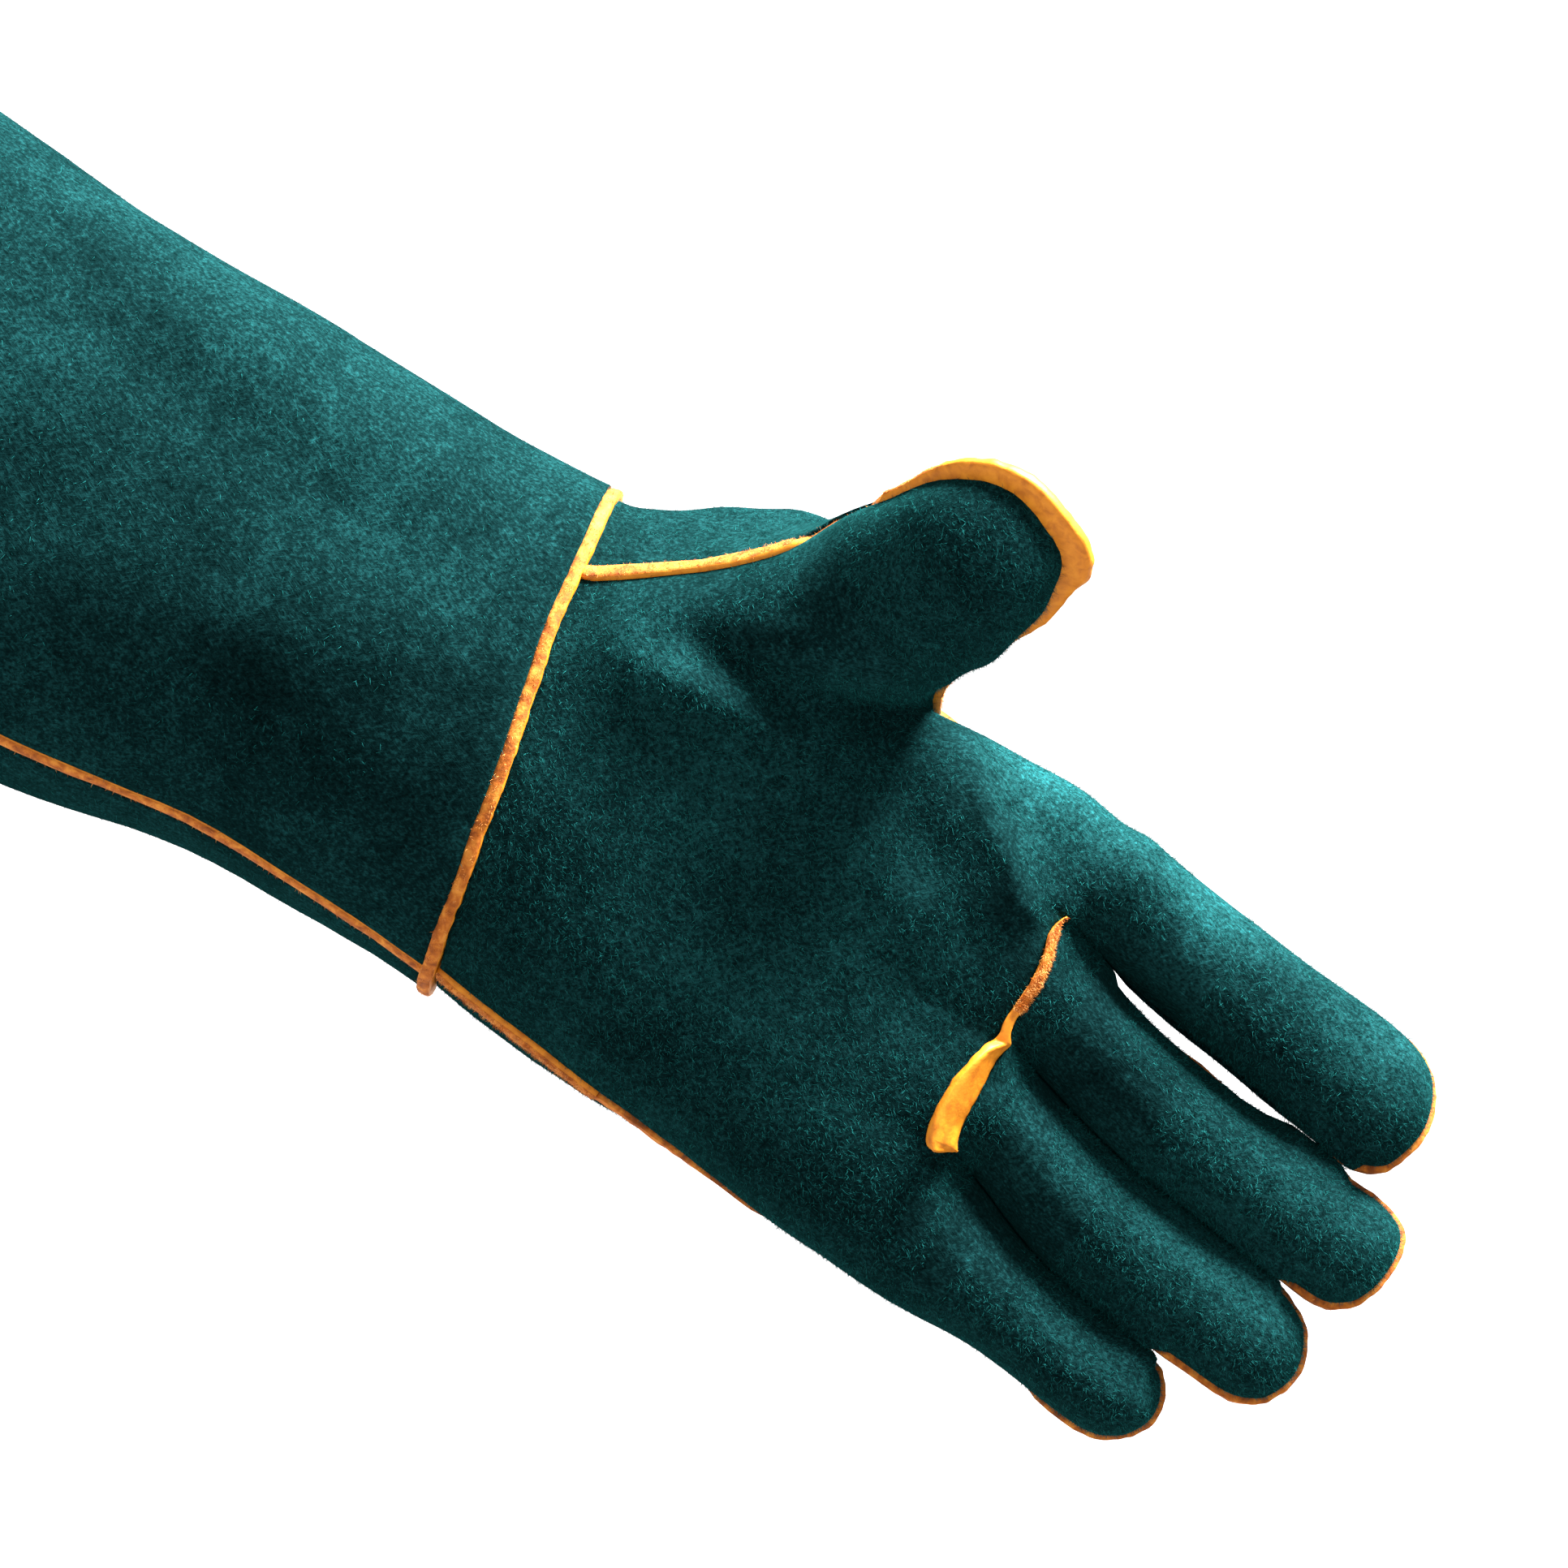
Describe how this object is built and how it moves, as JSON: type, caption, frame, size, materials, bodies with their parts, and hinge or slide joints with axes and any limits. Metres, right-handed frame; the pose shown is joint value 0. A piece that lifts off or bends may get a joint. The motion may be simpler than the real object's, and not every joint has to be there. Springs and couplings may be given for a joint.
{
  "type": "animal handling glove",
  "caption": "Long hollow leather gauntlet glove for the left hand, with palm, fingers, thumb and forearm sleeve and a leather welt in each seam, worn to handle animals safely.",
  "frame": {"origin": "centre of the hand's hollow at the wrist seam", "axes": "+X along the hand towards the fingertips, -Y the side that the palm faces, +Z towards the thumb's side"},
  "size_m": [0.5982, 0.1153, 0.1891],
  "materials": {
    "split_leather": "dark teal suede split leather with a short nap",
    "welt_leather": "yellow-orange smooth face, tan cut edges"
  },
  "bodies": {
    "root": {"gauntlet": "split_leather", "palm_panel": "split_leather", "middle_fingers_front": "split_leather", "back_panel": "split_leather", "wrist_welt": "welt_leather", "gauntlet_welt": "welt_leather", "thumb_welt": "welt_leather", "finger_welt": "welt_leather", "heel_welt": "welt_leather", "finger_base_welt": "welt_leather"}
  },
  "joints": []
}
